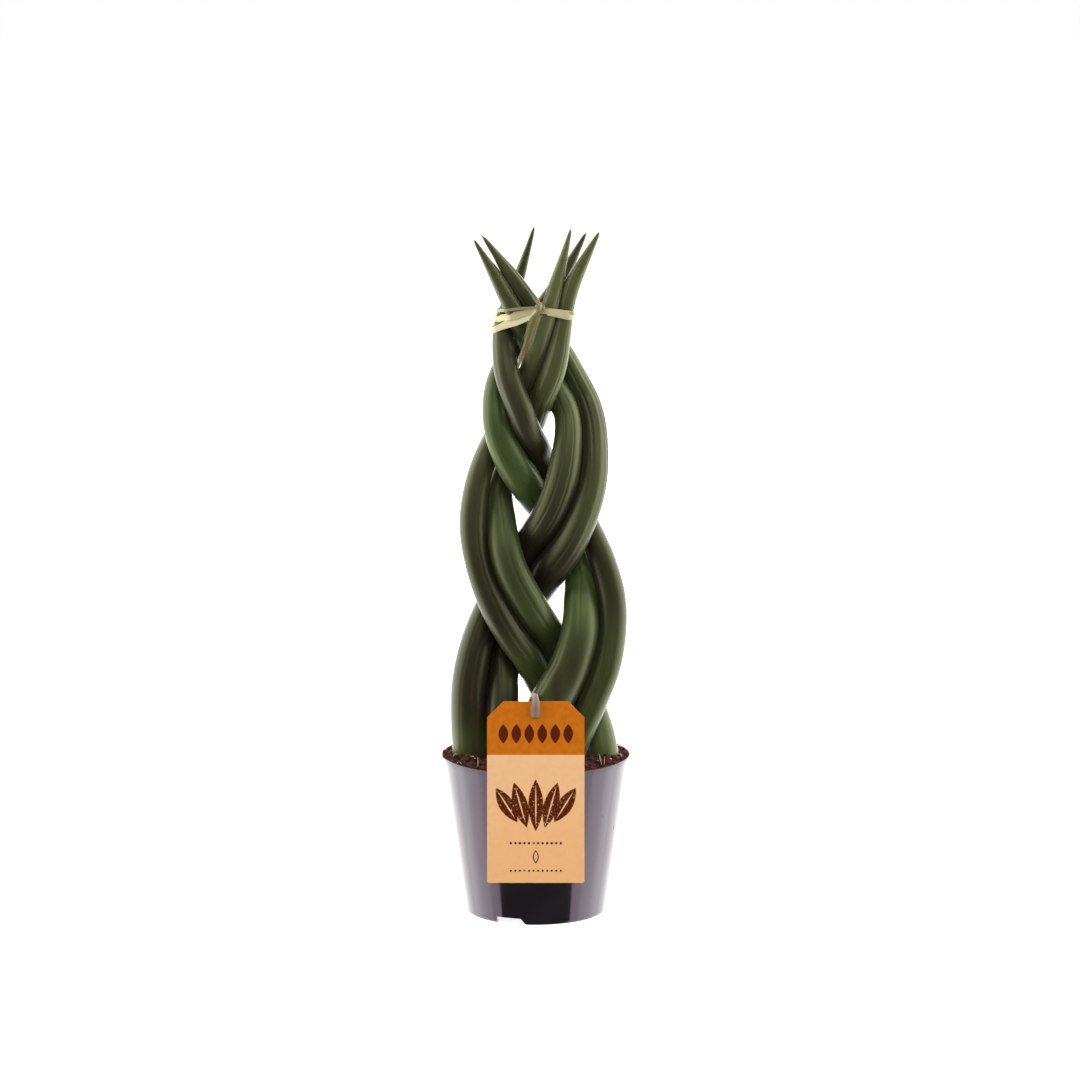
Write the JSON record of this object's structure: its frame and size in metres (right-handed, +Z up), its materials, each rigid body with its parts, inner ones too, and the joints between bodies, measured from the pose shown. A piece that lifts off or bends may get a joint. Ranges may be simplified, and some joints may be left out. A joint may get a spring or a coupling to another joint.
{
  "type": "cylindrical snake plant",
  "caption": "Cylindrical snake plant with plaited round leaves in a nursery pot, tied with raffia, with a bare card tag on a raffia strip.",
  "frame": {"origin": "centre of the pot's foot ring, on the surface that the pot stands on", "axes": "+Z up along the pot's axis and the plait; -Y is the front, where the tag leans on the rim; +X is to the right seen from the front"},
  "size_m": [0.12, 0.1304, 0.432],
  "materials": {
    "pot_plastic": "gloss",
    "peat": "matte",
    "leaf": "satin",
    "raffia": "satin",
    "tag_card": "matte"
  },
  "bodies": {
    "root": {"pot": "pot_plastic", "soil": "peat", "leaf_left_outer": "leaf", "leaf_left_inner": "leaf", "leaf_back_inner": "leaf", "leaf_back_outer": "leaf", "leaf_right_inner": "leaf", "leaf_right_outer": "leaf", "raffia_tie": "raffia", "tag": "tag_card", "tag_strip": "raffia"}
  },
  "joints": []
}
